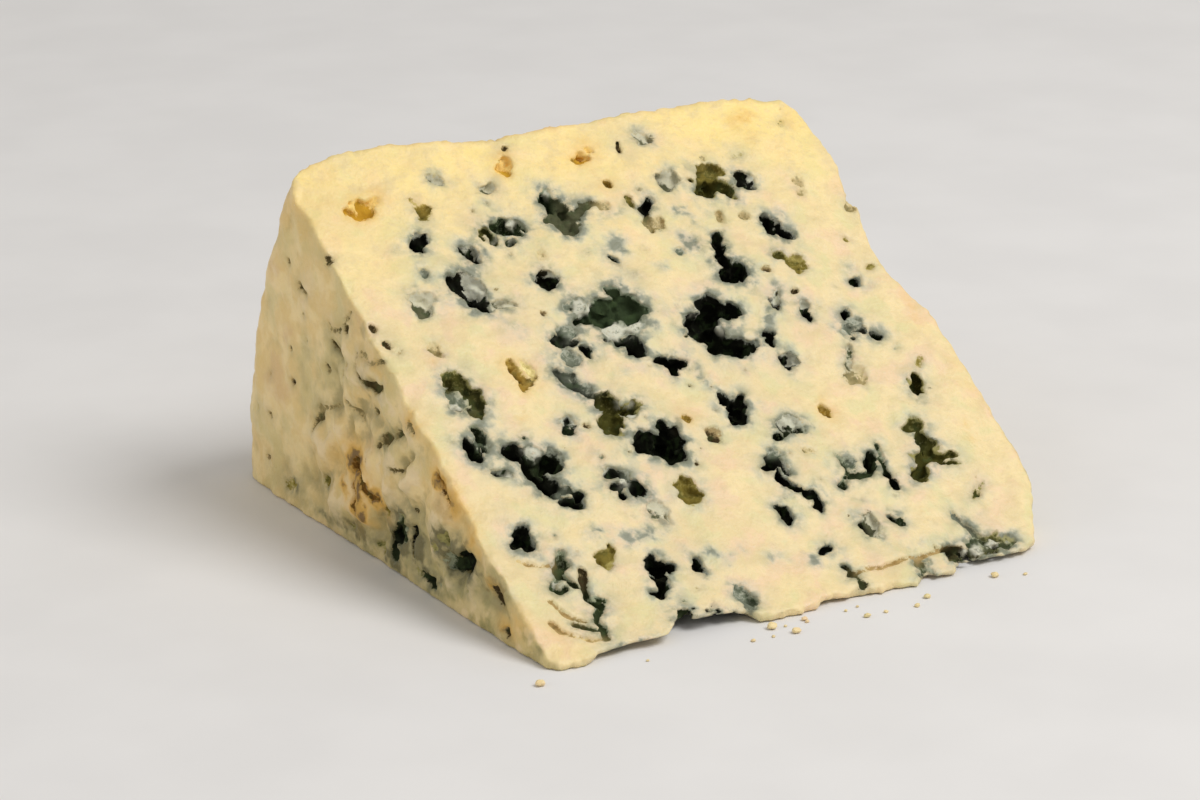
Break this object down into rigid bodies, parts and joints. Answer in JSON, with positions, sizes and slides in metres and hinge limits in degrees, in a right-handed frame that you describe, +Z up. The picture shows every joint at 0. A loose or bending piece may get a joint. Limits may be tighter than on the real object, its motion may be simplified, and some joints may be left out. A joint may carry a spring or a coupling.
{
  "type": "blue cheese wedge",
  "caption": "Wedge of blue-veined cheese cut from a round wheel, lying on one cut face, with open mould-lined pockets, a ragged tip edge and a thin rind.",
  "frame": {"origin": "middle of the wedge's box, at the height of the cut face that it lies on", "axes": "+Z up; X runs along the wheel's axis and the thin tip edge, +Y from the tip edge to the rind"},
  "size_m": [0.0944, 0.0956, 0.055],
  "materials": {
    "cheese_paste": "moist, slightly waxy cream-coloured paste with blue-green mould, amber pockets and a thin khaki rind"
  },
  "bodies": {
    "root": {"cheese_wedge": "cheese_paste"}
  },
  "joints": []
}
